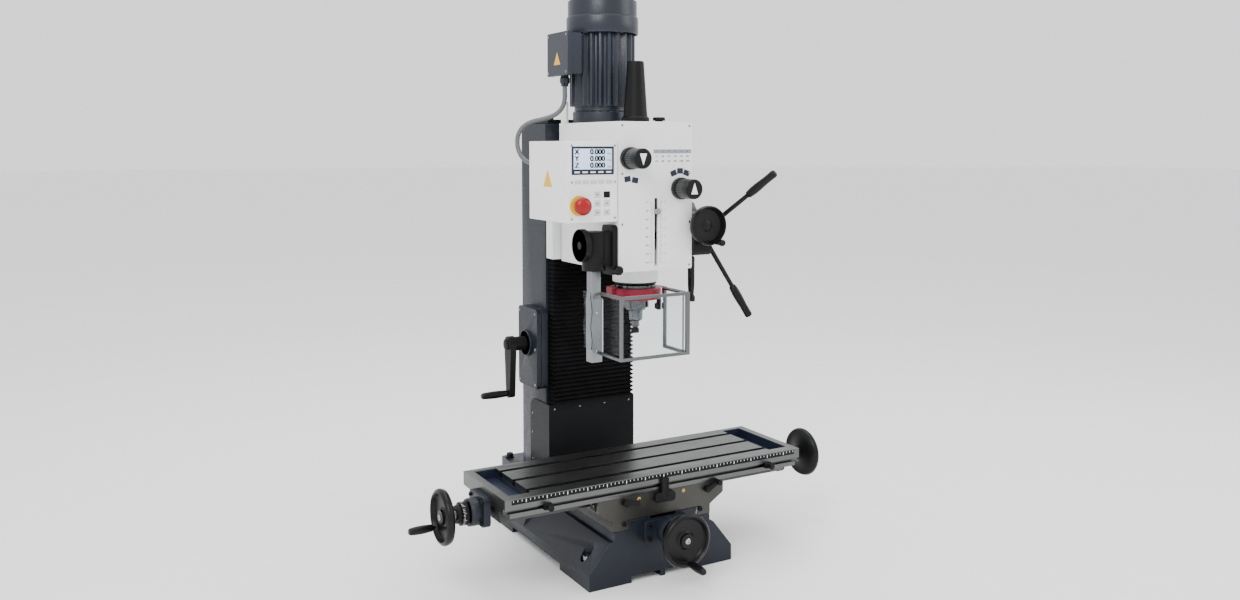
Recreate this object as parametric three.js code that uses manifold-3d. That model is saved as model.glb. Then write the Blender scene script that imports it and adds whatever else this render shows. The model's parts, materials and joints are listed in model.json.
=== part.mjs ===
// A benchtop milling machine, in millimetres. X runs along the table, Y from the operator
// towards the column, Z up. The origin is on the floor, straight under the spindle.
import * as THREE from 'three';
import { mergeVertices } from 'three/addons/utils/BufferGeometryUtils.js';
import Module from 'manifold-3d';

const wasm = await Module();
wasm.setup();

// ---- driving dimensions ----
const GAP = 0.3; // between pieces that touch
const TABLE = { length: 800, front: -131, back: 109, top: 245, under: 203.5, y: -11 };
const SLOT = { pitch: 75, neck: 14, head: 24, neckFloor: 233, floor: 222, end: 326 };
const TROUGH = { inner: 326, outer: 380, front: -104, back: 94 };
const SADDLE = { front: -128, back: 106, half: 171, top: 203.2, foot: 124.8, floor: 147.2 };
const BASE = { half: 195, front: -129, back: 440, band: 38, crest: 104, way: 124.5, rail: 146.6 };
const CORE = { count: 2, rib: 6, inner: 85, innerTop: 76, outerFrom: 97, outerTo: 150, outerTop: 70 };
const RELIEF = { height: 15, side: 177, along: [20, 293] };
const POCKET = { radius: 16, floor: 45, x: 170, rows: [-72, 400] };
const COLUMN = { half: 122, front: 240.6, back: 383, top: 1057, foot: 160 };
const DOVETAIL = { front: 213, low: 350, high: 985, frontHalf: 76, rootHalf: 66 };
const X_SCREW_Z = 190;
const Y_SCREW_Z = 116;
const Z_SCREW_Y = 288;
const CRANK_Z = 495;
const WHEEL_RADIUS = 62;
const SWIVEL_Z = 885;
const HEAD = { half: 99, front: -89.7, back: 196, bottom: 713, top: 1057, wall: 9 };
const PLATE = { front: -95, back: -90 };
const MOTOR = { x: -18, y: 130 };
const LAYSHAFT = { x: 28, y: 79.2 };
const QUILL = { radius: 37.5, bore: 27, nose: 48.5, bottom: 640, top: 930 };
const PINION = { y: -46, z: 790, radius: 14.6 };
const CONTROL = { left: -225, right: -99.4, front: -86, back: 116, bottom: 829, top: 1012 };
const GUARD = { x: -146, y: -61, left: -135, right: 33, front: -171, rear: -73, low: 526, high: 670 };
const FINE = { x: 127, y: -108, z: 814, radius: 47 };

// ---- geometry helpers ----
// Welds a geometry, drops faces with no area and turns the faces outwards.
function weld(geometry) {
  const bare = geometry.clone();
  bare.deleteAttribute('normal');
  bare.deleteAttribute('uv');
  const merged = mergeVertices(bare, 1e-4);
  const index = merged.index.array;
  const at = merged.attributes.position;
  const corner = (n) => new THREE.Vector3().fromBufferAttribute(at, n);
  const kept = [];
  let volume = 0;
  for (let i = 0; i < index.length; i += 3) {
    const [a, b, c] = index.slice(i, i + 3);
    if (a === b || b === c || c === a) continue;
    kept.push(a, b, c);
    volume += corner(a).dot(corner(b).cross(corner(c)));
  }
  merged.setIndex(volume < 0 ? kept.reverse() : kept);
  return merged;
}

function solid(geometry) {
  const welded = weld(geometry);
  return new wasm.Manifold(new wasm.Mesh({
    numProp: 3,
    vertProperties: Float32Array.from(welded.attributes.position.array),
    triVerts: Uint32Array.from(welded.index.array),
  }));
}

function surface(manifold) {
  const mesh = manifold.getMesh();
  const geometry = new THREE.BufferGeometry();
  geometry.setAttribute('position', new THREE.BufferAttribute(mesh.vertProperties, 3));
  geometry.setIndex(new THREE.BufferAttribute(mesh.triVerts, 1));
  return geometry;
}

function join(...geometries) {
  return surface(geometries.map(solid).reduce((sum, next) => sum.add(next)));
}

function cut(geometry, ...tools) {
  return surface(tools.map(solid).reduce((left, tool) => left.subtract(tool), solid(geometry)));
}

function block([x0, x1], [y0, y1], [z0, z1]) {
  const box = new THREE.BoxGeometry(x1 - x0, y1 - y0, z1 - z0);
  return box.translate((x0 + x1) / 2, (y0 + y1) / 2, (z0 + z1) / 2);
}

// The same block on the left (-1) or the right (1) of the machine's middle plane.
function mirroredBlock(side, [near, far], y, z) {
  return block(side < 0 ? [-far, -near] : [near, far], y, z);
}

// Turns a geometry made along +Z so that +Z points along an axis, and moves it.
const TURN = {
  '+x': [0, 1, 0, Math.PI / 2],
  '-x': [0, 1, 0, -Math.PI / 2],
  '+y': [1, 0, 0, -Math.PI / 2],
  '-y': [1, 0, 0, Math.PI / 2],
  '+z': [0, 0, 1, 0],
};

function aim(geometry, axis, [x, y, z]) {
  const [ax, ay, az, angle] = TURN[axis];
  const turn = new THREE.Matrix4().makeRotationAxis(new THREE.Vector3(ax, ay, az), angle);
  return geometry.applyMatrix4(turn).translate(x, y, z);
}

// A round solid about +Z from [radius, height] points; it starts and ends on the axis.
function turned(points, segments = 16) {
  const profile = points.map(([r, h]) => new THREE.Vector2(r, h));
  return new THREE.LatheGeometry(profile, segments).rotateX(Math.PI / 2);
}

// A round ring about +Z whose profile closes on itself.
function ring(inner, outer, low, high, segments = 16) {
  const profile = [[inner, low], [outer, low], [outer, high], [inner, high], [inner, low]];
  return turned(profile, segments);
}

// A plain shaft about +Z.
function shaft(radius, low, high, segments = 16) {
  return turned([[0, low], [radius, low], [radius, high], [0, high]], segments);
}

function outline(points) {
  return new THREE.Shape(points.map(([x, y]) => new THREE.Vector2(x, y)));
}

function rounded(x0, y0, x1, y1, r) {
  const shape = new THREE.Shape();
  shape.moveTo(x0 + r, y0);
  shape.lineTo(x1 - r, y0);
  shape.absarc(x1 - r, y0 + r, r, -Math.PI / 2, 0);
  shape.absarc(x1 - r, y1 - r, r, 0, Math.PI / 2);
  shape.absarc(x0 + r, y1 - r, r, Math.PI / 2, Math.PI);
  shape.absarc(x0 + r, y0 + r, r, Math.PI, Math.PI * 1.5);
  return shape;
}

// Extrudes an outline drawn in the XY, XZ or YZ plane between two heights along the third axis.
function extruded(shape, plane, from, to, curveSegments = 4) {
  const options = { depth: to - from, bevelEnabled: false, curveSegments };
  const geometry = new THREE.ExtrudeGeometry(shape, options);
  if (plane === 'xy') return geometry.translate(0, 0, from);
  if (plane === 'xz') return geometry.rotateX(Math.PI / 2).translate(0, to, 0);
  const turn = new THREE.Matrix4().set(0, 0, 1, 0, 1, 0, 0, 0, 0, 1, 0, 0, 0, 0, 0, 1);
  return geometry.applyMatrix4(turn).translate(from, 0, 0);
}

// ---- the scene graph ----
const machine = new THREE.Group();

function piece(name, geometry, [color, roughness, metalness], parent = machine) {
  const material = new THREE.MeshStandardMaterial({ color, roughness, metalness });
  const mesh = new THREE.Mesh(weld(geometry), material);
  mesh.name = name;
  parent.add(mesh);
  return mesh;
}

function group(parent, x = 0, y = 0, z = 0) {
  const made = new THREE.Group();
  made.position.set(x, y, z);
  parent.add(made);
  return made;
}

const SLATE = [0x374148, 0.55, 0.2];
const WHITE = [0xe2e2de, 0.5, 0.1];
const BLACK = [0x17181a, 0.5, 0.1];
const GROUND = [0x8b8d88, 0.35, 0.9];
const OLIVE = [0x5f5d55, 0.5, 0.8];
const STEEL = [0xa8aaad, 0.3, 1.0];
const BRONZE = [0xa07a3c, 0.4, 0.9];
const CRIMSON = [0x9c1f3c, 0.45, 0.1];

// ---- base ----
function baseCasting() {
  const { half, front, back, band, crest, way, rail } = BASE;
  const slide = outline([
    [-half, 0], [half, 0], [half, band], [142, crest], [131, crest], [131, way],
    [88, way], [94, rail], [35, rail], [35, 90], [-35, 90], [-35, rail],
    [-94, rail], [-88, way], [-131, way], [-131, crest], [-142, crest], [-half, band],
  ]);
  const seat = outline([[-half, 0], [half, 0], [half, band], [168, 124], [-168, 124], [-half, band]]);
  const body = join(extruded(slide, 'xz', front, 226), extruded(seat, 'xz', 225, back));
  const wall = 12;
  const cores = [];
  const pitch = (back - front - wall) / CORE.count;
  for (let i = 0; i < CORE.count; i += 1) {
    const from = front + wall + i * pitch;
    const span = [from, from + pitch - wall];
    for (const side of [-1, 1]) {
      cores.push(mirroredBlock(side, [CORE.rib, CORE.inner], span, [-1, CORE.innerTop]));
      cores.push(mirroredBlock(side, [CORE.outerFrom, CORE.outerTo], span, [-1, CORE.outerTop]));
    }
  }
  const reliefs = [];
  for (const side of [-1, 1]) {
    const through = [front - 1, front + wall + 1];
    reliefs.push(mirroredBlock(side, [CORE.rib, CORE.inner], through, [-1, RELIEF.height]));
    reliefs.push(mirroredBlock(side, [RELIEF.side, half + 1], RELIEF.along, [-1, RELIEF.height]));
  }
  const holes = [];
  for (const x of [-POCKET.x, POCKET.x]) {
    for (const y of POCKET.rows) {
      holes.push(shaft(POCKET.radius, POCKET.floor, way + 6).translate(x, y, 0));
    }
  }
  return cut(body, ...cores, ...reliefs, ...holes);
}

piece('base_casting', baseCasting(), SLATE);

function yBracket() {
  const plate = extruded(rounded(-60, 92, 60, 143, 10), 'xz', -147, BASE.front - GAP);
  const boss = aim(shaft(31, 0, 30), '-y', [0, -145, Y_SCREW_Z]);
  const bore = aim(shaft(10.4, -2, 60), '-y', [0, -127, Y_SCREW_Z]);
  return cut(join(plate, boss), bore);
}

piece('y_screw_bracket', yBracket(), SLATE);

// ---- column ----
function columnCasting() {
  const { half, front, back, top, foot } = COLUMN;
  const { front: nose, low, high, frontHalf, rootHalf } = DOVETAIL;
  const tower = block([-half, half], [front, back], [foot - 1, top]);
  const flange = extruded(rounded(-165, 236, 165, BASE.back, 14), 'xy', 124.3, foot);
  const tail = outline([
    [-frontHalf, nose], [frontHalf, nose], [rootHalf, front + 1], [-rootHalf, front + 1],
  ]);
  const body = join(tower, flange, extruded(tail, 'xy', low, high));
  const channel = block([-34, 34], [200, 322], [445, top + 1]);
  const cellTop = top - 17;
  const wall = 14;
  const cells = [
    block([48, half - wall], [front + wall, back - wall], [123, cellTop]),
    block([wall - half, -48], [front + wall, back - wall], [123, cellTop]),
    block([-34, 34], [336, back - wall], [123, cellTop]),
  ];
  const crankHole = aim(shaft(15, 0, 100), '-x', [-30, Z_SCREW_Y, CRANK_Z]);
  return cut(body, channel, ...cells, crankHole);
}

piece('column_casting', columnCasting(), SLATE);

function columnCap() {
  const plate = block([-112, 112], [244, 340], [COLUMN.top + GAP, 1068]);
  const bolt = aim(shaft(8, 1067, 1076, 12), '+z', [-98, 258, 0]);
  return join(plate, bolt);
}

piece('column_cap', columnCap(), BLACK);

function columnCover() {
  const outer = COLUMN.half + 2.9;
  const inner = COLUMN.half + 0.4;
  const face = 218;
  const sheet = 2.5;
  const rear = 330;
  const bend = outline([
    [-outer, rear], [-outer, face], [outer, face], [outer, rear],
    [inner, rear], [inner, face + sheet], [-inner, face + sheet], [-inner, rear],
  ]);
  const wrap = extruded(bend, 'xy', COLUMN.foot + GAP, 342);
  const corner = new THREE.Shape();
  const r = 24;
  corner.moveTo(rear + 1, 342 - r);
  corner.lineTo(rear, 342 - r);
  corner.absarc(rear - r, 342 - r, r, 0, Math.PI / 2);
  corner.lineTo(rear - r, 343);
  corner.lineTo(rear + 1, 343);
  return cut(wrap, extruded(corner, 'yz', -outer - 1, outer + 1));
}

piece('column_cover', columnCover(), BLACK);

// Way bellows: a folded sleeve round the front of the dovetail.
function bellows() {
  const sleeve = outline([
    [-118, 236], [-118, 203], [118, 203], [118, 236], [104, 236], [104, 211], [-104, 211], [-104, 236],
  ]);
  return extruded(sleeve, 'xy', 346, 716);
}

piece('way_bellows', bellows(), BLACK);

// ---- Z drive: gearbox, crank, screw ----
function zGearbox() {
  const inner = extruded(rounded(229, 382, 341, 587, 12), 'yz', -139, -COLUMN.half - GAP);
  const web = extruded(rounded(232, 385, 338, 584, 10), 'yz', -142, -138);
  const cover = extruded(rounded(229, 382, 341, 587, 12), 'yz', -153, -141);
  const boss = aim(shaft(34, 0, 8), '-x', [-152, Z_SCREW_Y, CRANK_Z]);
  const bore = aim(shaft(12.4, 0, 60), '-x', [-110, Z_SCREW_Y, CRANK_Z]);
  return cut(join(inner, web, cover, boss), bore);
}

piece('z_gearbox', zGearbox(), SLATE);

// The crank and the screw meet in two bevel wheels whose pitch cones touch at CRANK_Z.
const BEVEL = { small: 16, large: 30, clear: 0.5, back: 34 };

function bevelShaft(radius, end) {
  const { small, large, clear, back } = BEVEL;
  return turned([[0, small], [small - clear, small], [large - clear, large], [large - clear, back],
    [radius, back], [radius, end], [0, end]]);
}

function zCrank() {
  const drive = aim(bevelShaft(12, 170), '-x', [0, 0, 0]);
  const collar = aim(shaft(17, 162, 193), '-x', [0, 0, 0]);
  const arm = new THREE.Shape();
  const top = { y: 0, z: 0, r: 21 };
  const low = { y: 0, z: -126, r: 12 };
  arm.absarc(top.y, top.z, top.r, -0.1, Math.PI + 0.1);
  arm.absarc(low.y, low.z, low.r, Math.PI + 0.1, Math.PI * 2 - 0.1);
  const pin = aim(shaft(4, 205, 226, 12), '-x', [0, 0, low.z]);
  return join(drive, collar, extruded(arm, 'yz', -208, -192, 8), pin);
}

const crankGroup = group(machine, 0, Z_SCREW_Y, CRANK_Z);
piece('z_crank', zCrank(), BLACK, crankGroup);

// A turning hand grip about +Z with a blind bore for its pin.
function grip(length, radius) {
  const bore = 4.5;
  return turned([[0, 20], [bore, 20], [bore, 0], [radius - 2, 0], [radius - 0.5, 4],
    [radius + 0.5, length / 2], [radius - 0.5, length - 5], [radius - 3, length], [0, length]], 10);
}

piece('z_crank_grip', aim(grip(72, 9), '-x', [-208 - 2 * GAP, 0, -126]), BLACK, crankGroup);

const zScrewEnd = COLUMN.top - CRANK_Z - 12;
piece('z_leadscrew', bevelShaft(12, zScrewEnd), STEEL, crankGroup);

// ---- Z carriage: round-topped slide with its nut ----
function zCarriage() {
  const radius = COLUMN.half;
  const shape = new THREE.Shape();
  shape.moveTo(-radius, 717);
  shape.lineTo(radius, 717);
  shape.lineTo(radius, SWIVEL_Z);
  shape.absarc(0, SWIVEL_Z, radius, 0, Math.PI);
  const slab = extruded(shape, 'xz', 200, 236, 12);
  const clear = 0.4;
  const half = DOVETAIL.frontHalf + clear;
  const nose = DOVETAIL.front - clear;
  const root = DOVETAIL.rootHalf + 1.6;
  const way = outline([[-half, nose], [half, nose], [root, 237], [-root, 237]]);
  const arm = block([-26, 26], [211, 312], [930, 975]);
  const slide = join(cut(slab, extruded(way, 'xy', 700, 1020)), arm);
  return cut(slide, aim(shaft(12.5, 920, 985), '+z', [0, Z_SCREW_Y, 0]));
}

piece('z_carriage', zCarriage(), WHITE);

// ---- saddle ----
function saddleCasting() {
  const { front, back, half, top, foot, floor } = SADDLE;
  const shape = outline([
    [-half, top], [-half, 172], [-133, 148], [-133, foot], [-88.6, foot], [-94.7, floor],
    [101.3, floor], [95.2, foot], [133, foot], [133, 148], [half, 172], [half, top],
  ]);
  const body = extruded(shape, 'xz', front, back);
  const { y } = TABLE;
  const way = outline([[y - 62.5, top + 1], [y + 62.5, top + 1], [y + 73, 178.6], [y - 73, 178.6]]);
  const well = block([-26, 26], [y - 26, y + 26], [140, 180]);
  return cut(body, extruded(way, 'yz', -half - 1, half + 1), well);
}

piece('saddle_casting', saddleCasting(), OLIVE);

// The gib is a slanted strip between the base's dovetail and the saddle's right foot.
function saddleGib() {
  const { foot, floor, front, back } = SADDLE;
  const strip = outline([[88.7, foot + 0.2], [94.8, foot + 0.2], [100.6, floor - 1], [94.5, floor - 1]]);
  return extruded(strip, 'xz', front + 1, back - 1);
}

piece('saddle_gib', saddleGib(), STEEL);

function crossNut() {
  const body = block([-24, 24], [TABLE.y - 24, TABLE.y + 24], [98, 176]);
  const xBoss = block([-24, 24], [TABLE.y - 15, TABLE.y + 15], [175, 204.5]);
  const xBore = aim(shaft(9.4, -30, 30), '+x', [0, TABLE.y, X_SCREW_Z]);
  const yBore = aim(shaft(9.4, -30, 30), '+y', [0, TABLE.y, Y_SCREW_Z]);
  return cut(join(body, xBoss), xBore, yBore);
}

piece('cross_nut', crossNut(), BRONZE);

function stopBlock() {
  const foot = extruded(rounded(-27, 179, 27, 201.5, 8), 'xz', -141, SADDLE.front - GAP);
  const stem = block([-9, 9], [-141, TABLE.front - 0.7], [199, 234]);
  const flute = block([-5, 5], [-145, -139], [190, 240]);
  return cut(join(foot, stem), flute);
}

piece('table_stop_block', stopBlock(), BLACK);

// Clamp levers on the saddle's front face.
function lockHandle() {
  const boss = shaft(8, 0, 14, 16);
  const arm = aim(turned([[0, 0], [4, 0], [5.5, 22], [6, 30], [0, 33]], 12), '+z', [0, 0, 0]);
  const tilt = new THREE.Matrix4().makeRotationY(Math.PI * 0.38);
  return join(boss, arm.applyMatrix4(tilt).translate(0, 0, 8));
}

const tableLock = group(machine, -104, SADDLE.front - GAP, 191);
tableLock.rotation.set(Math.PI / 2, 0, 0);
piece('table_lock_handle', lockHandle(), BLACK, tableLock);

function wingLever() {
  const boss = shaft(7, 0, 12, 16);
  const wing = extruded(rounded(-9, -5, 34, 5, 4.5), 'xy', 5, 13);
  const tip = shaft(6, 4, 22, 12).translate(30, 0, 0);
  return join(boss, wing, tip);
}

const saddleLock = group(machine, 121, SADDLE.front - GAP, 188);
saddleLock.rotation.set(Math.PI / 2, 0, 0);
piece('saddle_lock_lever', wingLever().rotateZ(0.5), BLACK, saddleLock);

// ---- table ----
function tableCasting() {
  const { length, front, back, top, under, y } = TABLE;
  const half = length / 2;
  const upper = block([-half, half], [front, back], [213, top]);
  const lip = 12;
  const lower = block([lip - half, half - lip], [front + 1, back - 1], [under, 214]);
  const tail = outline([[y - 62, under + 1], [y + 62, under + 1], [y + 72, 179], [y - 72, 179]]);
  const body = join(upper, lower, extruded(tail, 'yz', 10 - half, half - 10));
  const tools = [block([-half - 1, half + 1], [y - 20, y + 20], [170, 207])];
  const along = [-SLOT.end - 1, SLOT.end + 1];
  for (const n of [-1, 0, 1]) {
    const at = y + n * SLOT.pitch;
    tools.push(block(along, [at - SLOT.neck / 2, at + SLOT.neck / 2], [SLOT.neckFloor - 1, top + 1]));
    tools.push(block(along, [at - SLOT.head / 2, at + SLOT.head / 2], [SLOT.floor, SLOT.neckFloor]));
  }
  for (const side of [-1, 1]) {
    const ends = [side * TROUGH.inner, side * TROUGH.outer].sort((a, b) => a - b);
    tools.push(block(ends, [TROUGH.front, TROUGH.back], [SLOT.floor, top + 1]));
  }
  tools.push(block([-half - 1, half + 1], [front - 1, front + 5], [214, 222]));
  tools.push(block([-half - 1, half + 1], [front + 4, front + 9], [211, 225]));
  return cut(body, ...tools);
}

piece('table_casting', tableCasting(), GROUND);

// A bearing bracket on one end of the table; +Z points away from the table.
function endBracket() {
  const plate = extruded(rounded(-44, -28, 44, 40, 12), 'xy', 0, 16);
  const neck = shaft(31, 14, 38);
  return cut(join(plate, neck), shaft(10.4, -1, 40));
}

for (const [side, name] of [[-1, 'left'], [1, 'right']]) {
  const end = side * (TABLE.length / 2 + GAP);
  const axis = side < 0 ? '-x' : '+x';
  const upright = endBracket().rotateZ(side < 0 ? -Math.PI / 2 : Math.PI / 2);
  piece(`${name}_end_bracket`, aim(upright, axis, [end, TABLE.y, X_SCREW_Z]), SLATE);
}

// ---- feed screws, dials and handwheels ----
// A dished handwheel about +Z with a blind bore for the screw and a pin for the grip.
function handwheel(gripAngle) {
  const rim = WHEEL_RADIUS;
  const wheel = turned([[0, 13], [8, 13], [8, 0], [17, 0], [50, 8], [rim - 3, 6],
    [rim, 9], [rim, 21], [rim - 3, 24], [54, 23], [49, 13], [22, 11], [16, 20], [0, 20]], 20);
  const pin = shaft(4, 18, 42, 8);
  pin.translate(52 * Math.cos(gripAngle), 52 * Math.sin(gripAngle), 0);
  return join(wheel, pin);
}

function wheelWithGrip(name, gripAngle, parent) {
  piece(`${name}_handwheel`, handwheel(gripAngle), BLACK, parent);
  const handle = grip(54, 9).translate(52 * Math.cos(gripAngle), 52 * Math.sin(gripAngle), 24 + 2 * GAP);
  piece(`${name}_grip`, handle, BLACK, parent);
}

const X_HUB = { left: 482, right: 496 };
const xScrew = turned([[0, -X_HUB.left - 12], [7.6, -X_HUB.left - 12], [7.6, -X_HUB.left + GAP],
  [12, -X_HUB.left + GAP], [12, -439], [9, -439], [9, 439], [12, 439], [12, X_HUB.right - GAP],
  [7.6, X_HUB.right - GAP], [7.6, X_HUB.right + 12], [0, X_HUB.right + 12]]);
piece('x_leadscrew', aim(xScrew, '+x', [0, TABLE.y, X_SCREW_Z]), STEEL);

// Graduated collar about +Z, in front of a screw's bracket.
function dial(radius, bore, length) {
  return turned([[bore, 0], [radius - 4, 0], [radius, 3], [radius, length - 9], [radius - 8, length - 7],
    [radius - 9, length], [bore, length], [bore, 0]]);
}

piece('x_dial', aim(dial(26, 12.4, 26), '-x', [-440, TABLE.y, X_SCREW_Z]), BLACK);

const leftWheel = group(machine, -X_HUB.left, TABLE.y, X_SCREW_Z);
leftWheel.rotation.set(0, -Math.PI / 2, 0);
wheelWithGrip('x_left', 2.3, leftWheel);
const rightWheel = group(machine, X_HUB.right, TABLE.y, X_SCREW_Z);
rightWheel.rotation.set(0, Math.PI / 2, 0);
wheelWithGrip('x_right', Math.PI / 2 - 0.2, rightWheel);

const Y_HUB = -213;
const yScrew = turned([[0, Y_HUB - 12], [7.6, Y_HUB - 12], [7.6, Y_HUB + GAP], [12, Y_HUB + GAP],
  [12, -176], [9, -176], [9, 190], [0, 190]]);
piece('y_leadscrew', aim(yScrew, '+y', [0, 0, Y_SCREW_Z]), STEEL);
piece('y_dial', aim(dial(28, 12.4, 26), '-y', [0, -176.4, Y_SCREW_Z]), BLACK);

const yWheel = group(machine, 0, Y_HUB, Y_SCREW_Z);
yWheel.rotation.set(Math.PI / 2, 0, 0);
wheelWithGrip('y', -Math.PI / 2 + 0.1, yWheel);

// ---- head ----
function headCasting() {
  const { half, front, back, bottom, top, wall } = HEAD;
  const shell = block([-half, half], [front, back], [bottom, top]);
  const swivelBoss = aim(shaft(112, 0, 4 - GAP, 24), '+y', [0, back - 0.1, SWIVEL_Z]);
  const overhang = block([-half, half], [back - 1, MOTOR.y + 76], [1014, top]);
  const nose = aim(shaft(54.5, 679, bottom + 1, 20), '+z', [0, 0, 0]);
  const motorShield = block([-half, 6 - half], [168, back], [top - 1, 1110]);
  const inside = block([wall - half, half - wall], [front - 1, back - wall], [760, top - wall]);
  const shellBody = cut(join(shell, swivelBoss, overhang, nose, motorShield), inside);
  const sleeve = aim(shaft(50, 750, QUILL.top), '+z', [0, 0, 0]);
  const frontWindow = block([-26, 40], [-60, -28], [725, 880]);
  const tools = [
    aim(shaft(QUILL.radius + GAP, 670, QUILL.top + 1, 20), '+z', [0, 0, 0]),
    frontWindow,
    block([-26, 6], [front - 1, -36], [725, 880]),
    aim(shaft(20, top - 20, top + 1, 16), '+z', [0, 0, 0]),
    aim(shaft(24, top - 20, top + 1, 16), '+z', [MOTOR.x, MOTOR.y, 0]),
    aim(shaft(11.5, 0, 40, 16), '+x', [half - 20, PINION.y, PINION.z]),
  ];
  return cut(join(shellBody, sleeve), ...tools);
}

const head = group(machine);
piece('head_casting', headCasting(), WHITE, head);

const KNOBS = [
  { name: 'range_knob', x: -72, z: 973 },
  { name: 'speed_knob', x: 65, z: 902 },
];

function frontPlate() {
  const shape = rounded(-HEAD.half, HEAD.bottom, HEAD.half, HEAD.top, 4);
  const plate = extruded(shape, 'xz', PLATE.front, PLATE.back);
  const slot = block([-4.5, 4.5], [-100, -80], [723, 881]);
  const holes = KNOBS.map(({ x, z }) => aim(shaft(8.5, 0, 20, 16), '-y', [x, -80, z]));
  return cut(plate, slot, ...holes);
}

piece('front_plate', frontPlate(), WHITE, head);

// A two-step selector knob about +Z, with its spindle behind the plate.
function selectorKnob() {
  return turned([[0, -22], [8, -22], [8, 0.4], [26, 0.4], [26, 14], [22.5, 16], [22.5, 36], [23, 38],
    [23, 60], [21, 62], [0, 62]], 18);
}

for (const { name, x, z } of KNOBS) {
  const knobGroup = group(head, x, PLATE.front, z);
  knobGroup.rotation.set(Math.PI / 2, 0, 0);
  piece(name, selectorKnob(), BLACK, knobGroup);
}

// ---- motor on top of the head ----
const motor = group(head, MOTOR.x, MOTOR.y, HEAD.top);
const COWL = { low: 216.6, step: 257.5, shoulder: 296, top: 311, outer: 88.5, upper: 85, crown: 64 };

function motorBody() {
  const finCount = 22;
  const root = 72;
  const tip = 80.5;
  const points = [];
  for (let i = 0; i < finCount; i += 1) {
    for (const [step, r] of [[0.1, root], [0.4, tip], [0.6, tip], [0.9, root]]) {
      const angle = ((i + step) / finCount) * Math.PI * 2;
      points.push([r * Math.cos(angle), r * Math.sin(angle)]);
    }
  }
  const fins = extruded(outline(points), 'xy', 41, COWL.low - GAP);
  const flange = turned([[0, GAP], [74, GAP], [74, 26], [70, 30], [70, 42], [0, 42]], 20);
  return cut(join(flange, fins), shaft(13, -1, 230, 16));
}

piece('motor_body', motorBody(), SLATE, motor);

function motorCowl() {
  const { low, step, shoulder, top, outer, upper, crown } = COWL;
  const sheet = 3;
  return turned([[outer - sheet, low], [outer, low], [outer, step], [upper, step + 1], [upper, shoulder],
    [crown, top], [0, top], [0, top - sheet], [crown - sheet, top - sheet], [upper - sheet, shoulder - 1],
    [upper - sheet, step - 2], [outer - sheet, step - 3], [outer - sheet, low]], 12);
}

piece('motor_cowl', motorCowl(), SLATE, motor);

// Motor shaft with its pinion in the head and its fan under the cowl.
const motorRotor = turned([[0, -60], [10, -60], [10, -47], [22, -47], [22, -32], [11, -32], [11, 220],
  [24, 222], [60, 226], [60, 242], [24, 245], [0, 245]]);
piece('motor_rotor', motorRotor, STEEL, motor);

function terminalBox() {
  const box = block([-112, -84], [-50, 54], [116, 214]);
  const lid = block([-123, -111], [-53, 57], [113, 217]);
  const neck = block([-86, -60], [-38, 42], [120, 210]);
  const glandProfile = [[0, 0], [9, 0], [9, 6], [12, 8], [12, 20], [10, 22], [10, 30], [0, 30]];
  const gland = turned(glandProfile, 12).translate(-104, 0, 88);
  const bore = aim(shaft(6.2, 80, 105, 12), '+z', [-104, 0, 0]);
  return cut(join(box, lid, neck, gland), shaft(81.4, 100, 216, 24), bore);
}

piece('terminal_box', terminalBox(), SLATE, motor);

// Out of the terminal box, down and round into the back of the control box.
const cableRoute = [
  [-122, 130, 1150], [-122, 130, 1134], [-122, 130, 1119], [-126, 132, 1098],
  [-138, 138, 1081], [-155, 147, 1071], [-174, 156, 1065], [-192, 165, 1060],
  [-209, 174, 1050], [-221, 180, 1033], [-225, 182, 1011], [-223, 176, 987],
  [-218, 159, 969], [-212, 136, 961], [-209, 123, 961], [-209, 110, 961],
].map((p) => new THREE.Vector3(...p));

function motorCable() {
  const radius = 5.6;
  const section = new THREE.Shape().absarc(0, 0, radius, 0, Math.PI * 2);
  const extrudePath = new THREE.CatmullRomCurve3(cableRoute);
  const options = { steps: 26, extrudePath, curveSegments: 4, bevelEnabled: false };
  return new THREE.ExtrudeGeometry(section, options);
}

piece('motor_cable', motorCable(), [0x8c8f92, 0.6, 0.0], head);

const drawbarCover = turned([[0, 60], [13, 60], [13, GAP], [33, GAP], [33, 11], [29, 14], [28, 22],
  [20, 142], [17, 145], [0, 145]]);
piece('drawbar_cover', aim(drawbarCover, '+z', [0, 0, HEAD.top]), BLACK, head);
const oilCap = turned([[0, GAP], [9, GAP], [9, 4], [15, 5], [15, 11], [13, 13], [0, 13]], 16);
piece('oil_cap', aim(oilCap, '+z', [66, 0, HEAD.top]), BLACK, head);

// ---- gear train in the head: splined sleeve, layshaft ----
const GEAR = { low: 985, high: 1000, upLow: 1010, upHigh: 1025 };
const sleeve = turned([[15.4, 950], [26, 950], [26, GEAR.low], [49.5, GEAR.low], [49.5, GEAR.high],
  [26, GEAR.high], [26, 1040], [15.4, 1040], [15.4, 950]]);
piece('drive_sleeve', sleeve, STEEL, head);
const layshaft = turned([[0, 900], [12, 900], [12, GEAR.low], [33.5, GEAR.low], [33.5, GEAR.high],
  [14, GEAR.high], [14, GEAR.upLow], [45.7, GEAR.upLow], [45.7, GEAR.upHigh], [12, GEAR.upHigh],
  [12, 1044], [0, 1044]]);
piece('layshaft', layshaft.translate(LAYSHAFT.x, LAYSHAFT.y, 0), STEEL, head);

// ---- control box on the head's left side ----
function controlBox() {
  const { left, right, front, back, bottom, top } = CONTROL;
  const sheet = 3;
  const lip = 6;
  const shell = extruded(rounded(left, front, right, back, 4), 'xy', bottom, top);
  const inside = block(
    [left + sheet, right - sheet],
    [front + sheet, back - sheet],
    [bottom + sheet, top - sheet],
  );
  const window = block([left + lip, right - lip], [front - 1, front + 5], [bottom + lip, top - lip]);
  const cableEntry = aim(shaft(6.2, 0, 20, 12), '+y', [-209, back - 10, 961]);
  return cut(shell, inside, window, cableEntry);
}

piece('control_box', controlBox(), WHITE, head);

const STOP = { x: -199, z: 868 };

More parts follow.
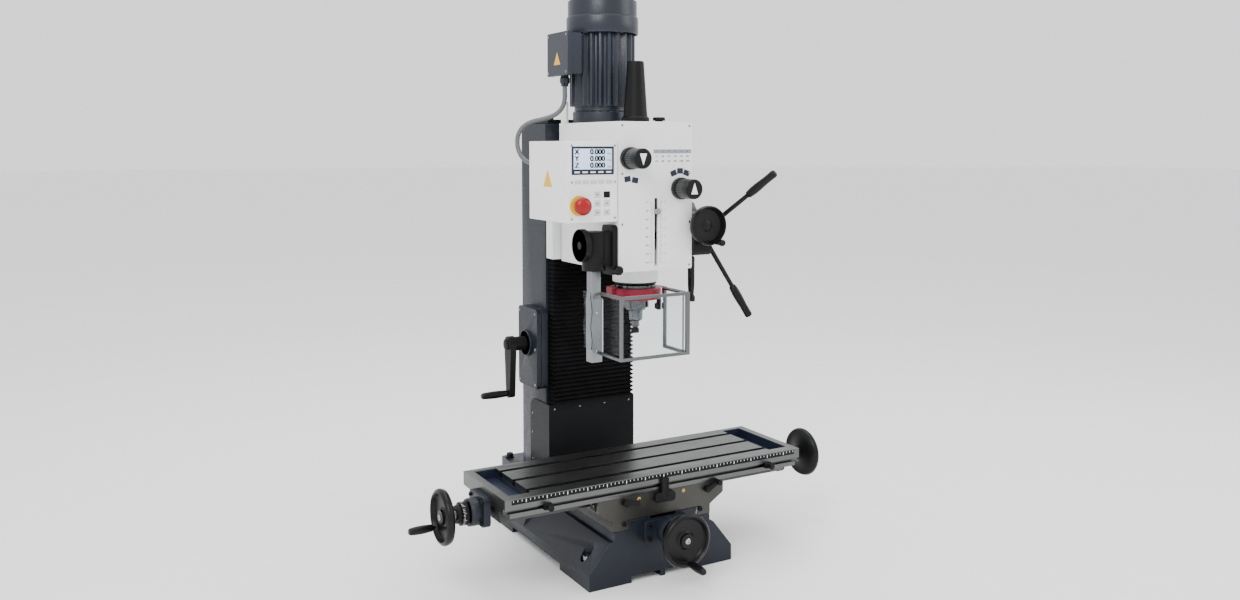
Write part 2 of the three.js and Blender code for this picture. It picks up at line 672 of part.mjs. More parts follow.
function controlPanel() {
  const { left, right, front, bottom, top } = CONTROL;
  const plate = extruded(rounded(left + 1, bottom + 1, right - 1, top - 1, 3), 'xz', front - 4, front - GAP);
  return cut(plate, aim(shaft(9, 0, 12, 16), '-y', [STOP.x, front, STOP.z]));
}

piece('control_panel', controlPanel(), WHITE, head);

const stopButton = turned([[0, -14], [8, -14], [8, 14], [20, 15], [21, 19], [19, 27], [12, 32], [0, 33]]);
const STOP_RED = [0xc8201c, 0.4, 0.0];
const stopPlace = [STOP.x, CONTROL.front - 4, STOP.z];
piece('emergency_stop_button', aim(stopButton, '-y', stopPlace), STOP_RED, head);

// ---- quill, spindle and tool holder ----
const quill = turned([[QUILL.bore, QUILL.bottom], [QUILL.nose, QUILL.bottom], [QUILL.nose, 671], [44, 673],
  [44, 678.6], [QUILL.radius, 678.7], [QUILL.radius, QUILL.top], [QUILL.bore, QUILL.top],
  [QUILL.bore, QUILL.bottom]], 20);
const rackFlat = block([-10, 10], [-50, PINION.y + PINION.radius + 0.4], [700, QUILL.top + 1]);
piece('quill', cut(quill, rackFlat), STEEL, head);

const spindle = turned([[0, 616], [32.5, 616], [32.5, QUILL.bottom - 0.6], [26.6, QUILL.bottom - 0.6],
  [26.6, 925], [15, 925], [15, 1040], [8, 1040], [8, 1100], [0, 1100]]);
piece('spindle', spindle, STEEL, head);

const colletChuck = turned([[0, 553], [9.5, 553], [9.5, 563], [6.5, 565], [6.5, 568], [10, 568], [10, 582],
  [15, 583], [18, 587], [18, 608], [25, 610], [25, 616 - GAP], [0, 616 - GAP]]);
piece('collet_chuck', colletChuck, STEEL, head);

function quillCollar() {
  const hoop = ring(QUILL.nose + GAP, 65, 638, 664, 20);
  const lugClamp = block([52, 76], [-22, 6], [636, 662]);
  const lugRear = block([-72, -56], [-14, 14], [650, 668]);
  const clampScrew = aim(shaft(6, 610, 640, 12), '+z', [46, -34, 0]);
  const star = aim(shaft(12, 612, 626, 10), '+z', [46, -34, 0]);
  const bore = aim(shaft(QUILL.nose + GAP, 600, 700, 20), '+z', [0, 0, 0]);
  return cut(join(hoop, lugClamp, lugRear, clampScrew, star), bore);
}

piece('quill_collar', quillCollar(), CRIMSON, head);

function depthPointer() {
  const arm = block([-22, -12], [-84, -37.8], [845, 855]);
  const bar = block([-22, 3], [-84, -76], [845, 855]);
  const stem = block([-3, 3], [-99, -78], [846, 854]);
  const knob = aim(shaft(7.5, 0, 6, 12), '-y', [0, -98, 850]);
  return join(arm, bar, stem, knob);
}

piece('depth_pointer', depthPointer(), STEEL, head);

// ---- quill feed: pinion shaft with three levers, worm housing, fine feed ----
function wormHousing() {
  const body = extruded(rounded(-105, 742, -12, 842, 14), 'yz', HEAD.half + GAP, 150);
  const shaftBore = aim(shaft(11.6, -5, 60), '+x', [HEAD.half, PINION.y, PINION.z]);
  const wormBore = aim(shaft(8.5, 0, 70, 16), '+y', [FINE.x, -110, FINE.z]);
  return cut(body, shaftBore, wormBore);
}

piece('worm_housing', wormHousing(), BLACK, head);

const LEVER = { radial: 212, axial: 106, grip: 88 };

function pilotWheel() {
  const { radius, y, z } = PINION;
  const hub = 150 + 2 * GAP;
  const spindleShaft = turned([[0, -8], [radius, -8], [radius, 9], [8, 9], [8, 60], [11, 60], [11, hub],
    [24, hub], [24, 174], [19, 180], [0, 180]]);
  const length = Math.hypot(LEVER.radial, LEVER.axial);
  const start = length - LEVER.grip;
  const lever = turned([[0, 4], [6, 4], [5.5, start], [9, start + 3], [10.5, start + 20], [9, length - 30],
    [9.5, length - 6], [7, length], [0, length]], 10);
  const parts = [aim(spindleShaft, '+x', [0, y, z])];
  const firstAngle = THREE.MathUtils.degToRad(44.7);
  for (let i = 0; i < 3; i += 1) {
    const angle = firstAngle - (i * Math.PI * 2) / 3;
    const across = -LEVER.radial * Math.cos(angle);
    const up = LEVER.radial * Math.sin(angle);
    const direction = new THREE.Vector3(LEVER.axial, across, up).normalize();
    const turn = new THREE.Quaternion().setFromUnitVectors(new THREE.Vector3(0, 0, 1), direction);
    parts.push(lever.clone().applyQuaternion(turn).translate(160, y, z));
  }
  return join(...parts);
}

piece('pilot_wheel', pilotWheel(), BLACK, head);

const fineGroup = group(head, FINE.x, FINE.y, FINE.z);
fineGroup.rotation.set(Math.PI / 2, 0, 0);
const FINE_GRIP = { x: 12, y: -38 };

function fineFeedWheel() {
  const { radius } = FINE;
  const cup = turned([
    [0, -55], [8, -55], [8, 0], [20, 0], [42, 3], [radius, 8], [radius, 22],
    [radius - 3, 24], [38, 10], [15, 7], [10, 10], [0, 10],
  ], 18);
  return join(cup, shaft(3, 12, 34, 10).translate(FINE_GRIP.x, FINE_GRIP.y, 0));
}

piece('fine_feed_wheel', fineFeedWheel(), BLACK, fineGroup);
const fineGrip = turned([[0, 12], [3.4, 12], [3.4, 0], [6, 0], [6.5, 20], [8, 30], [5, 36], [0, 37]], 12);
piece('fine_feed_grip', fineGrip.translate(FINE_GRIP.x, FINE_GRIP.y, 24 + 2 * GAP), BLACK, fineGroup);

function lockLever() {
  const boss = aim(shaft(9, 0, 14, 16), '+x', [HEAD.half + GAP, 0, 0]);
  const blade = outline([[-7, 6], [-7, -60], [-4, -84], [-10, -88], [-9, -100], [3, -100], [7, -60], [8, 6]]);
  return join(boss, extruded(blade, 'yz', HEAD.half + 5, HEAD.half + 15));
}

const quillLock = group(head, 0, -78, 731);
piece('quill_lock_lever', lockLever(), BLACK, quillLock);

// ---- chip guard: pivot bracket, post, frame and clear pane ----
const guard = group(head, GUARD.x, GUARD.y, 0);

function guardBracket() {
  const wallX = -HEAD.half - GAP - GUARD.x;
  const plate = extruded(rounded(-29, 707, 23, 821, 10), 'yz', wallX - 13, wallX);
  const web = block([10, wallX - 12], [-22, 12], [728, 806]);
  const barrel = shaft(27, 718, 807, 20);
  const switchDisc = aim(shaft(37.5, 0, 13, 20), '-x', [-24, 0, 776]);
  return cut(join(plate, web, barrel, switchDisc), shaft(10.4, 700, 770, 16));
}

piece('guard_bracket', guardBracket(), BLACK, guard);

function guardPost() {
  const journal = shaft(10, 700, 765, 16);
  const post = extruded(rounded(-12.5, -12.5, 12.5, 12.5, 3), 'xy', 509, 717);
  const clamp = extruded(rounded(-15, -17, 13.2, 10, 2), 'xy', 509, 655);
  return join(journal, post, clamp);
}

piece('guard_post', guardPost(), STEEL, guard);

const PANE = {
  left: GUARD.left - GUARD.x,
  right: GUARD.right - GUARD.x,
  front: GUARD.front - GUARD.y,
  rear: GUARD.rear - GUARD.y,
};

function guardFrame() {
  const bar = 7;
  const bars = [];
  const { left, right, front, rear } = PANE;
  const leftRear = rear - 6;
  for (const z of [GUARD.low, GUARD.high - bar]) {
    bars.push(block([left - bar, left], [front, leftRear], [z, z + bar]));
    bars.push(block([left - bar, right + bar], [front - bar, front], [z, z + bar]));
    bars.push(block([right, right + bar], [front, rear], [z, z + bar]));
  }
  bars.push(block([left - bar, left], [front - bar, front], [GUARD.low, GUARD.high]));
  bars.push(block([right - 3, right + bar], [front - bar, front], [GUARD.low, GUARD.high]));
  bars.push(block([right, right + bar], [rear - bar, rear], [GUARD.low, GUARD.high]));
  return join(...bars);
}

piece('guard_frame', guardFrame(), [0x84888a, 0.4, 0.7], guard);

function guardPane() {
  const sheet = 2.5;
  const { left, right, front, rear } = PANE;
  const inner = left + GAP;
  const sheetShape = outline([
    [inner, rear - 8], [inner, front + GAP + 3], [right - GAP - 3, front + GAP + 3], [right - GAP - 3, rear],
    [right - GAP - 3 - sheet, rear], [right - GAP - 3 - sheet, front + GAP + 3 + sheet],
    [inner + sheet, front + GAP + 3 + sheet], [inner + sheet, rear - 8],
  ]);
  return extruded(sheetShape, 'xy', GUARD.low + 1, GUARD.high - 1);
}

piece('guard_pane', guardPane(), [0xd7dde0, 0.1, 0.0], guard);

export default machine;
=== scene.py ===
# The looks of a benchtop milling machine: castings get soft edges and worn enamel, round
# parts are turned finely, and the dials, display, scales and fasteners are added.
# Lengths are in millimetres unless a name says metres; the frame is X right, Y back, Z up.
import json
import math

import bmesh
import bpy
from mathutils import Matrix, Vector


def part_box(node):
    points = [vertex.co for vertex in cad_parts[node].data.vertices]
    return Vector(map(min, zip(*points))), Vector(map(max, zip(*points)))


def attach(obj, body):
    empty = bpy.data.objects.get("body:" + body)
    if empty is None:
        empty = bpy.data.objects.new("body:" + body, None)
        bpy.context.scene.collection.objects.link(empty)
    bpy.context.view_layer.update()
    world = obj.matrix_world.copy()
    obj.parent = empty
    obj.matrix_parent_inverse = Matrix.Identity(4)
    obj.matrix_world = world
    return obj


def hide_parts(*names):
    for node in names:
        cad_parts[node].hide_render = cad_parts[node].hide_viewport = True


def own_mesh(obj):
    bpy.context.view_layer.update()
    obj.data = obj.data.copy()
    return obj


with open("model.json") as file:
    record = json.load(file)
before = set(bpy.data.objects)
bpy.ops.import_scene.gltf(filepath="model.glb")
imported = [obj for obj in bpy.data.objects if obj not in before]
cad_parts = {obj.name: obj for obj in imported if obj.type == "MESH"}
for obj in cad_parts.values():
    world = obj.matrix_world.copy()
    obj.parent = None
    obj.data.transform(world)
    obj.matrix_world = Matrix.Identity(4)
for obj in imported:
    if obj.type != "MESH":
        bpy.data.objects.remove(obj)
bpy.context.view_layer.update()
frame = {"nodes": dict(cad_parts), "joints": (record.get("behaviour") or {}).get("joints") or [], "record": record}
NODES = frame["nodes"]
JOINTS = {joint["name"]: joint for joint in frame["joints"]}
BODY_OF = {n: b for b, ns in frame["record"]["behaviour"]["bodies"].items() for n in ns}
SLOT_OF = {part["node"]: part["material_slot"] for part in frame["record"]["subparts"]}
scene = bpy.context.scene
MM = 0.001


# ---- camera ----
SPOT_M = (-1.2758, -2.1520, 1.0010)
PITCH_DOWN, TURN_RIGHT = math.radians(3.670), math.radians(29.478)
SENSOR, LENS = 36, 30.427
SHIFT = (0.0051, -0.07)
FAR_M = 50


def make_camera():
    camera = bpy.data.objects.new("camera", bpy.data.cameras.new("camera"))
    scene.collection.objects.link(camera)
    camera.location = SPOT_M
    camera.rotation_euler = (math.pi / 2 - PITCH_DOWN, 0, -TURN_RIGHT)
    camera.data.sensor_width = SENSOR
    camera.data.lens = LENS
    camera.data.shift_x, camera.data.shift_y = SHIFT
    camera.data.clip_end = FAR_M
    scene.camera = camera


make_camera()


# ---- materials ----
def noise(tree, scale, detail=6.0, stretch=(1, 1, 1)):
    coordinates = tree.nodes.new("ShaderNodeTexCoord")
    mapping = tree.nodes.new("ShaderNodeMapping")
    mapping.inputs["Scale"].default_value = stretch
    texture = tree.nodes.new("ShaderNodeTexNoise")
    texture.inputs["Scale"].default_value = scale
    texture.inputs["Detail"].default_value = detail
    tree.links.new(coordinates.outputs["Object"], mapping.inputs["Vector"])
    tree.links.new(mapping.outputs["Vector"], texture.inputs["Vector"])
    return texture.outputs["Fac"]


def ramp(tree, source, low, high, start=0.35, end=0.65):
    node = tree.nodes.new("ShaderNodeValToRGB")
    node.color_ramp.elements[0].position = start
    node.color_ramp.elements[1].position = end
    node.color_ramp.elements[0].color = low
    node.color_ramp.elements[1].color = high
    tree.links.new(source, node.inputs["Fac"])
    return node.outputs["Color"]


def grey(value):
    return (value, value, value, 1)


EDGE_RADIUS_M = 0.0018
GRAIN_DEPTH_M = 0.0006


def edges(tree):
    """Where a softened normal leaves the true one: bright on edges, dark on flat faces."""
    softened = tree.nodes.new("ShaderNodeBevel")
    softened.samples = 4
    softened.inputs["Radius"].default_value = EDGE_RADIUS_M
    geometry = tree.nodes.new("ShaderNodeNewGeometry")
    agreement = tree.nodes.new("ShaderNodeVectorMath")
    agreement.operation = "DOT_PRODUCT"
    tree.links.new(softened.outputs["Normal"], agreement.inputs[0])
    tree.links.new(geometry.outputs["True Normal"], agreement.inputs[1])
    return ramp(tree, agreement.outputs["Value"], grey(0.6), grey(0), 0.9, 0.985)


def finish(name, color, rough, metal=0.0, shade=0.12, grain=260, bump=0.08, wear=None,
           stretch=(1, 1, 1), coat=0.0, spread=0.08, gleam=0.5):
    """A finish whose colour drifts softly, whose roughness varies and whose grain is a bump."""
    material = bpy.data.materials.new(name)
    material.use_nodes = True
    tree = material.node_tree
    shader = tree.nodes["Principled BSDF"]
    shader.inputs["Metallic"].default_value = metal
    shader.inputs["Specular IOR Level"].default_value = gleam
    shader.inputs["Coat Weight"].default_value = coat
    shader.inputs["Coat Roughness"].default_value = 0.12
    dark = tuple(c * (1 - shade) for c in color) + (1,)
    light = tuple(min(1, c * (1 + shade)) for c in color) + (1,)
    surface = ramp(tree, noise(tree, 9, stretch=stretch), dark, light)
    if wear:
        edge = edges(tree)
        patchy = ramp(tree, noise(tree, 40), grey(0.15), grey(1), 0.4, 0.7)
        amount = tree.nodes.new("ShaderNodeMath")
        amount.operation = "MULTIPLY"
        tree.links.new(edge, amount.inputs[0])
        tree.links.new(patchy, amount.inputs[1])
        mix = tree.nodes.new("ShaderNodeMix")
        mix.data_type = "RGBA"
        tree.links.new(amount.outputs[0], mix.inputs["Factor"])
        tree.links.new(surface, mix.inputs["A"])
        mix.inputs["B"].default_value = wear + (1,)
        surface = mix.outputs["Result"]
    tree.links.new(surface, shader.inputs["Base Color"])
    fine = noise(tree, grain, 4, stretch)
    roughness = ramp(tree, fine, grey(max(0.02, rough - spread)), grey(rough + spread), 0.3, 0.7)
    tree.links.new(roughness, shader.inputs["Roughness"])
    relief = tree.nodes.new("ShaderNodeBump")
    relief.inputs["Strength"].default_value = bump
    relief.inputs["Distance"].default_value = GRAIN_DEPTH_M
    tree.links.new(fine, relief.inputs["Height"])
    tree.links.new(relief.outputs["Normal"], shader.inputs["Normal"])
    return material


def clear_plastic():
    tint = (0.93, 0.96, 0.97)
    material = finish("clear_polycarbonate", tint, 0.06, grain=30, bump=0.04, shade=0.02, spread=0.03)
    shader = material.node_tree.nodes["Principled BSDF"]
    shader.inputs["Transmission Weight"].default_value = 1.0
    shader.inputs["IOR"].default_value = 1.12
    return material


def lit_screen():
    material = finish("display_glow", (0.62, 0.78, 0.96), 0.25, shade=0.05, grain=900, bump=0.01)
    shader = material.node_tree.nodes["Principled BSDF"]
    shader.inputs["Emission Color"].default_value = (0.62, 0.8, 1, 1)
    shader.inputs["Emission Strength"].default_value = 0.15
    return material


WORN = (0.1, 0.115, 0.14)
SLATE = finish("slate_enamel", (0.0085, 0.011, 0.0175), 0.38, bump=0.16, grain=190, wear=WORN, gleam=0.25)
MOTOR = finish("motor_enamel", (0.013, 0.0165, 0.026), 0.34, bump=0.14, grain=240, wear=WORN, gleam=0.35)
WHITE = finish("white_enamel", (0.8, 0.805, 0.8), 0.42, shade=0.02, bump=0.06, grain=420)
PANEL = finish("panel_film", (0.82, 0.83, 0.81), 0.38, shade=0.02, bump=0.04, grain=700)
GROUND = finish("ground_iron", (0.115, 0.118, 0.115), 0.36, 1, 0.1, 300, 0.1, stretch=(0.12, 1, 1))
OLIVE = finish("milled_iron", (0.052, 0.051, 0.046), 0.4, 0.7, 0.16, 300, 0.14, stretch=(1, 0.2, 0.4))
STEEL = finish("ground_steel", (0.13, 0.137, 0.143), 0.22, 1, 0.1, 500, 0.06, stretch=(1, 1, 0.2))
CHROME = finish("bright_screws", (0.32, 0.33, 0.34), 0.2, 1, 0.06, 600, 0.03)
BRASS = finish("brass", (0.45, 0.3, 0.1), 0.28, 1, 0.12, 500, 0.05)
BLACK = finish("black_enamel", (0.006, 0.006, 0.0065), 0.44, shade=0.25, bump=0.18, grain=330, gleam=0.14)
GLOSS = finish("black_phenolic", (0.004, 0.004, 0.0045), 0.34, shade=0.25, bump=0.02, grain=260,
    spread=0.03, gleam=0.2)
CLOTH = finish("bellows_cloth", (0.005, 0.005, 0.0055), 0.6, shade=0.3, bump=0.4, grain=900, gleam=0.08)
SHEET = finish("cover_sheet", (0.006, 0.0065, 0.008), 0.46, shade=0.15, bump=0.08, grain=300, gleam=0.15)
NAVY = finish("trough_enamel", (0.012, 0.017, 0.034), 0.36, bump=0.12, grain=200, gleam=0.3)
CRIMSON = finish("crimson_enamel", (0.2, 0.005, 0.022), 0.36, shade=0.1, bump=0.1, grain=240, gleam=0.3)
RED = finish("stop_red", (0.26, 0.0015, 0.0015), 0.3, shade=0.08, bump=0.02, grain=400, gleam=0.35)
YELLOW = finish("sign_yellow", (0.7, 0.4, 0.0), 0.4, shade=0.05, bump=0.03, grain=500)
INK = finish("print_ink", (0.008, 0.009, 0.011), 0.5, shade=0.2, bump=0.02, grain=600, gleam=0.1)
INK_GREY = finish("print_grey", (0.24, 0.26, 0.28), 0.5, shade=0.08, bump=0.02, grain=600)
KEYCAP = finish("soft_key", (0.52, 0.54, 0.53), 0.5, shade=0.04, bump=0.05, grain=500)
BAND = finish("grey_band", (0.05, 0.053, 0.056), 0.45, shade=0.15, bump=0.1, grain=400)
ALUMINIUM = finish("guard_aluminium", (0.13, 0.137, 0.14), 0.32, 0.95, 0.08, 420, 0.06,
    stretch=(1, 1, 0.15))
POST = finish("guard_post_metal", (0.24, 0.25, 0.26), 0.34, 0.95, 0.08, 420, 0.06, stretch=(1, 1, 0.15))
CABLE = finish("cable_sheath", (0.09, 0.096, 0.1), 0.45, shade=0.08, bump=0.05, grain=350)
CLEAR = clear_plastic()
SCREEN = lit_screen()


# ---- mesh pieces ----
TURNS = {
    "+x": Matrix.Rotation(math.radians(90), 4, "Y"),
    "-x": Matrix.Rotation(math.radians(-90), 4, "Y"),
    "+y": Matrix.Rotation(math.radians(-90), 4, "X"),
    "-y": Matrix.Rotation(math.radians(90), 4, "X"),
    "+z": Matrix.Identity(4),
    "-z": Matrix.Rotation(math.radians(180), 4, "X"),
}
PLANES = {
    "xy": lambda u, v, w: (u, v, w),
    "xz": lambda u, v, w: (u, w, v),
    "yz": lambda u, v, w: (w, u, v),
}


def axis_point(joint):
    """A joint's axis point, in millimetres."""
    return Vector(JOINTS[joint]["pos_m"]) / MM


def corners(node):
    """A CAD node's lowest and highest corners, in millimetres."""
    low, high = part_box(node)
    return low / MM, high / MM


class Piece:
    """Several closed forms gathered in one mesh, drawn in millimetres."""

    def __init__(self):
        self.bm = bmesh.new()

    def shell(self, points, faces, matrix):
        """Adds faces over points that a matrix puts in place."""
        made = [self.bm.verts.new((matrix @ Vector(p)) * MM) for p in points]
        for face in faces:
            self.bm.faces.new([made[i] for i in face])
        return self

    def turned(self, profile, axis="+z", at=(0, 0, 0), steps=64, ripple=None, matrix=None):
        """A turned form from (radius, height) points; a profile off the axis closes on itself."""
        place = matrix or Matrix.Translation(at) @ TURNS[axis]
        points, rings = [], []
        for radius, height in profile:
            if radius < 1e-6:
                rings.append([len(points)])
                points.append((0, 0, height))
                continue
            rings.append(list(range(len(points), len(points) + steps)))
            for step in range(steps):
                angle = 2 * math.pi * step / steps
                reach = radius
                if ripple and ripple[2] <= height <= ripple[3]:
                    reach -= ripple[1] * (0.5 + 0.5 * math.cos(ripple[0] * angle))
                points.append((reach * math.cos(angle), reach * math.sin(angle), height))
        pairs = list(zip(rings, rings[1:]))
        if len(rings[0]) > 1:
            pairs.append((rings[-1], rings[0]))
        faces = []
        pairs = [(a, b) for a, b in pairs if len(a) + len(b) > 2]
        for a, b in pairs:
            for step in range(steps):
                after = (step + 1) % steps
                if len(a) == 1:
                    faces.append((a[0], b[after], b[step]))
                elif len(b) == 1:
                    faces.append((a[step], a[after], b[0]))
                else:
                    faces.append((a[step], a[after], b[after], b[step]))
        return self.shell(points, faces, place)

    def prism(self, outline, plane, low, high):
        """An outline drawn in one plane, given a thickness along the third axis."""
        count = len(outline)
        lift = PLANES[plane]
        points = [lift(u, v, low) for u, v in outline] + [lift(u, v, high) for u, v in outline]
        faces = [tuple(range(count)), tuple(range(2 * count - 1, count - 1, -1))]
        for i in range(count):
            j = (i + 1) % count
            faces.append((i, i + count, j + count, j))
        return self.shell(points, faces, Matrix.Identity(4))

    def block(self, x, y, z):
        return self.prism([(x[0], y[0]), (x[1], y[0]), (x[1], y[1]), (x[0], y[1])], "xy", z[0], z[1])

    def screw(self, at, axis, radius=3.0, height=1.6):
        """A domed fastener head with a hexagon socket."""
        self.turned([(0, 0), (radius, 0), (radius, height * 0.6), (radius * 0.8, height),
            (radius * 0.45, height), (radius * 0.45, height * 0.4), (0, height * 0.4)], axis, at,
            steps=18)
        return self

    def text(self, body, size, at, plane_axis="-y", bold=0.0):
        """Raised lettering whose face looks along an axis; only generic figures are used."""
        curve = bpy.data.curves.new("figures", "FONT")
        curve.body = body
        curve.size = size
        curve.extrude = 0.06
        curve.align_x = "CENTER"
        curve.align_y = "CENTER"
        holder = bpy.data.objects.new("figures", curve)
        scene.collection.objects.link(holder)
        bpy.context.view_layer.update()
        mesh = bpy.data.meshes.new_from_object(holder.evaluated_get(bpy.context.evaluated_depsgraph_get()))
        turn = {"-y": Matrix.Rotation(math.radians(90), 4, "X"), "+z": Matrix.Identity(4)}[plane_axis]
        mesh.transform(Matrix.Scale(MM, 4) @ Matrix.Translation(at) @ turn)
        for shift in (-bold, 0, bold) if bold else (0,):
            mesh.transform(Matrix.Translation((shift * MM, 0, 0)))
            self.bm.from_mesh(mesh)
            mesh.transform(Matrix.Translation((-shift * MM, 0, 0)))
        bpy.data.objects.remove(holder)
        bpy.data.curves.remove(curve)
        bpy.data.meshes.remove(mesh)
        return self

    def build(self, name, material, body, slot, stands_for=(), edge=0.0, crease=35):
        bmesh.ops.recalc_face_normals(self.bm, faces=self.bm.faces)
        mesh = bpy.data.meshes.new(name)
        self.bm.to_mesh(mesh)
        self.bm.free()
        return place(name, mesh, material, body, slot, stands_for, edge, crease)


def place(name, mesh, material, body, slot, stands_for=(), edge=0.0, crease=35):
    mesh.materials.clear()
    mesh.materials.append(material)
    mesh.shade_smooth()
    mesh.set_sharp_from_angle(angle=math.radians(crease))
    piece = bpy.data.objects.new(name, mesh)
    scene.collection.objects.link(piece)
    if edge:
        bevel = piece.modifiers.new("soft_edges", "BEVEL")
        bevel.width = edge * MM
        bevel.segments = 2
        bevel.limit_method = "ANGLE"
        bevel.angle_limit = math.radians(crease)
        bevel.harden_normals = False
    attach(piece, body)
    if stands_for:
        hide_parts(*stands_for)
    return piece


def refined(node, material, edge=1.2):
    """A CAD node's own shape with its flat faces merged and its edges softened."""
    bm = bmesh.new()
    bm.from_mesh(NODES[node].data)
    bmesh.ops.remove_doubles(bm, verts=bm.verts, dist=1e-5)
    bmesh.ops.dissolve_limit(bm, angle_limit=math.radians(0.6), verts=bm.verts, edges=bm.edges)
    mesh = bpy.data.meshes.new(f"{node}_finished")
    bm.to_mesh(mesh)
    bm.free()
    return place(f"{node}_finished", mesh, material, BODY_OF[node], SLOT_OF[node], [node], edge)


def repaint(node, material):
    node_object = NODES[node]
    node_object.data.materials.clear()
    node_object.data.materials.append(material)


def details(name, material, like):
    """A new piece that rides with a CAD node."""
    piece = Piece()
    return piece, lambda edge=0.0: piece.build(name, material, BODY_OF[like], SLOT_OF[like], (), edge)


# ---- base, column and way covers ----
def build_base():
    refined("base_casting", SLATE, 2.5)
    low, high = corners("base_casting")
    bolts, done = details("base_bolts", CHROME, "base_casting")
    for x in (low.x + 25, high.x - 25):
        for y in (low.y + 57, high.y - 40):
            bolts.turned([(0, 45), (15, 45), (15, 48), (10, 48), (10, 62), (0, 63)], "+z", (x, y, 0), 24)
    done(0.4)


def build_bracket():
    refined("y_screw_bracket", SLATE, 1.6)
    low, _ = corners("y_screw_bracket")
    axis = axis_point("y_screw_turn")
    boss, done = details("y_bracket_boss", SLATE, "y_screw_bracket")
    boss.turned([(11, 0), (31, 0), (31, 27), (29, 30), (11, 30)], "-y", (0, low.y + 30, axis.z))
    done()
    screws, done = details("y_bracket_screws", BLACK, "y_screw_bracket")
    for x in (-48, 48):
        for z in (102, 133):
            screws.screw((x, low.y + 28, z), "-y", 5, 5)
    done()


def build_column():
    refined("column_casting", SLATE, 2.2)
    refined("column_cap", BLACK, 1.4)
    refined("column_cover", SHEET, 0.6)
    low, high = corners("column_cover")
    screws, done = details("cover_screws", CHROME, "column_cover")
    for i in range(4):
        x = low.x + 16 + i * (high.x - low.x - 32) / 3
        screws.screw((x, low.y, high.z - 12), "-y", 2.6, 1.2)
        screws.screw((x, low.y, low.z + 12), "-y", 2.6, 1.2)
    for z in (low.z + 20, (low.z + high.z) / 2, high.z - 40):
        screws.screw((low.x, high.y - 14, z), "-x", 2.6, 1.2)
    done()
    low, high = corners("column_casting")
    bolts, done = details("column_foot_bolts", BLACK, "column_casting")
    for x in (low.x + 18, high.x - 18):
        for y in (low.y + 70, high.y - 24):
            bolts.turned([(0, 160), (12, 160), (12, 162), (9, 162), (9, 171), (8, 172), (4, 172),
                (4, 167), (0, 167)], "+z", (x, y, 0), 24)
    done()


def build_bellows():
    """Folded cloth: each fold goes out to the sleeve's face and in by its depth."""
    low, high = corners("way_bellows")
    folds = 34
    depth = 6.5
    inner = 9
    bm = bmesh.new()
    rows = []
    for i in range(2 * folds + 1):
        z = low.z + (high.z - low.z) * i / (2 * folds)
        inset = depth if i % 2 else 0
        x, front, back = high.x - inset, low.y + inset, high.y
        outline = [(-x, back), (-x, front + 4), (-x + 4, front), (x - 4, front), (x, front + 4), (x, back),
                   (high.x - depth - inner, back), (high.x - depth - inner, low.y + depth + 2),
                   (depth + inner - high.x, low.y + depth + 2), (depth + inner - high.x, back)]
        rows.append([bm.verts.new(Vector((u, v, z)) * MM) for u, v in outline])
    count = len(rows[0])
    for a, b in zip(rows, rows[1:]):
        for i in range(count):
            bm.faces.new((a[i], a[(i + 1) % count], b[(i + 1) % count], b[i]))
    bm.faces.new(rows[0])
    bm.faces.new(rows[-1])
    bmesh.ops.recalc_face_normals(bm, faces=bm.faces)
    mesh = bpy.data.meshes.new("bellows_folds")
    bm.to_mesh(mesh)
    bm.free()
    cloth = place("bellows_folds", mesh, CLOTH, "root", "bellows_cloth", ["way_bellows"], 0, 20)
    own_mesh(cloth)


# ---- height drive ----
def build_height_drive():
    refined("z_gearbox", SLATE, 1.8)
    low, high = corners("z_gearbox")
    axis = axis_point("z_crank_turn")
    face = low.x + 7
    boss, done = details("crank_boss", SLATE, "z_gearbox")
    boss.turned([(13, 0), (34, 0), (34, 5.5), (31, 8), (13, 8)], "-x", (face + 1, axis.y, axis.z))
    done()
    screws, done = details("gearbox_screws", CHROME, "z_gearbox")
    for y in (low.y + 10, high.y - 10):
        for z in (low.z + 12, (low.z + high.z) / 2, high.z - 12):
            screws.screw((face, y, z), "-x", 3.2, 1.6)
    done()
    refined("z_crank", BLACK, 1.4)
    crank, done = details("crank_hub", BLACK, "z_crank")
    crank.turned([(0, 160), (18, 160), (18, 206), (14, 210), (14, 214), (9, 216), (0, 216)],
        "-x", (0, axis.y, axis.z))
    done()
    handle("z_crank_grip", "-x", 72, 9)
    for node in ("z_leadscrew", "saddle_gib"):
        repaint(node, STEEL)
    repaint("cross_nut", BRASS)


def handle(node, axis, length, radius):
    """A swelling plastic grip on its own pin."""
    low, high = corners(node)
    along = {"x": 0, "y": 1}[axis[1]]
    at = (low + high) / 2
    at[along] = high[along] if axis[0] == "-" else low[along]
    profile = [(4.5, 0), (radius - 2, 0), (radius - 0.8, 2.5)]
    for i in range(9):
        share = i / 8
        swell = radius - 0.8 + 1.3 * math.sin(math.pi * share)
        profile.append((swell, 4 + share * (length - 10)))
    profile += [(radius - 1.6, length - 3), (radius - 3.5, length), (0, length), (0, 20), (4.5, 20)]
    grip = Piece().turned(profile, axis, at, 40)
    grip.build(f"{node}_turned", GLOSS, BODY_OF[node], SLOT_OF[node], [node])


